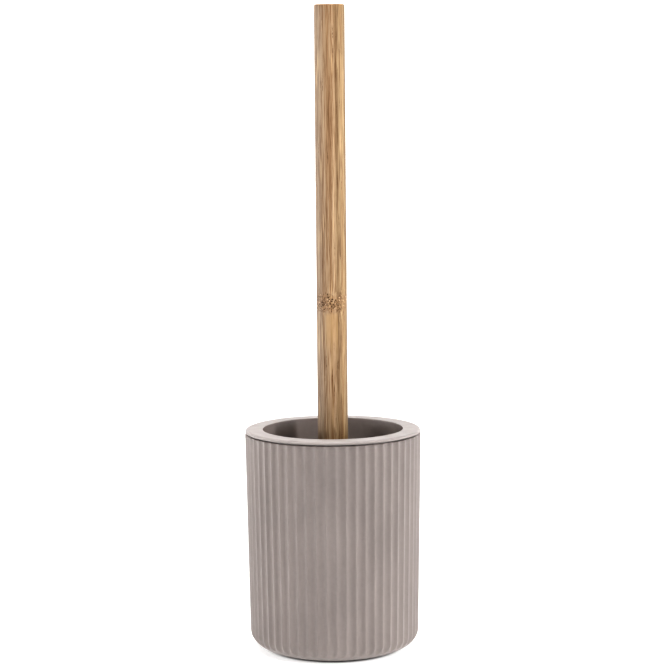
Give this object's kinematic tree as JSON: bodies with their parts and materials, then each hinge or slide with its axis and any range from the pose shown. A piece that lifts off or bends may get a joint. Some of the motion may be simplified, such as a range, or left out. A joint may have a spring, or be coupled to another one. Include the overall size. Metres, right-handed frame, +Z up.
{
  "type": "toilet brush holder",
  "caption": "Free-standing round toilet brush holder with a fluted shell and a smooth ring, holding a brush with a plain bamboo handle.",
  "frame": {"origin": "centre of the footprint, on the surface that the foot pads stand on", "axes": "+Z up along the handle, front towards -Y"},
  "size_m": [0.104, 0.104, 0.3798],
  "materials": {
    "shell_plastic": "fine satin texture",
    "liner_plastic": "satin, glossier inside the cup",
    "foot_rubber": "closed-cell foam rubber",
    "bamboo": "sanded bamboo with a thin clear coat",
    "stud_steel": "rolled thread",
    "washer_silicone": "translucent silicone",
    "core_plastic": "moulded, satin gloss",
    "bristle": "polypropylene filament"
  },
  "bodies": {
    "holder": {"outer_shell": "shell_plastic", "foot_pad_1": "foot_rubber", "foot_pad_2": "foot_rubber", "foot_pad_3": "foot_rubber", "foot_pad_4": "foot_rubber"},
    "liner": {"inner_liner": "liner_plastic"},
    "brush_head": {"brush_core": "core_plastic", "tip_tufts": "bristle", "tuft_row_1": "bristle", "tuft_row_2": "bristle", "tuft_row_3": "bristle", "tuft_row_4": "bristle", "tuft_row_5": "bristle", "tuft_row_6": "bristle", "tuft_row_7": "bristle", "tuft_row_8": "bristle", "tuft_row_9": "bristle"},
    "washer": {"sealing_washer": "washer_silicone"},
    "handle": {"handle": "bamboo", "handle_stud": "stud_steel"}
  },
  "joints": [
    {"name": "liner_lift", "type": "slide", "parent": "holder", "child": "liner", "axis": [0, 0, 1], "range_m": [0, 0.13]},
    {"name": "brush_lift", "type": "slide", "parent": "liner", "child": "brush_head", "axis": [0, 0, 1], "range_m": [0, 0.14]},
    {"name": "handle_rise", "type": "slide", "parent": "brush_head", "child": "washer", "axis": [0, 0, 1], "range_m": [0, 0.012]},
    {"name": "handle_unscrew", "type": "hinge", "parent": "washer", "child": "handle", "pos_m": [0, 0, 0.1], "axis": [0, 0, 1], "range_deg": [0, 3450]}
  ],
  "couplings": [
    {"joint": "handle_rise", "follows": "handle_unscrew", "m_per_rad": 0.00019894}
  ]
}
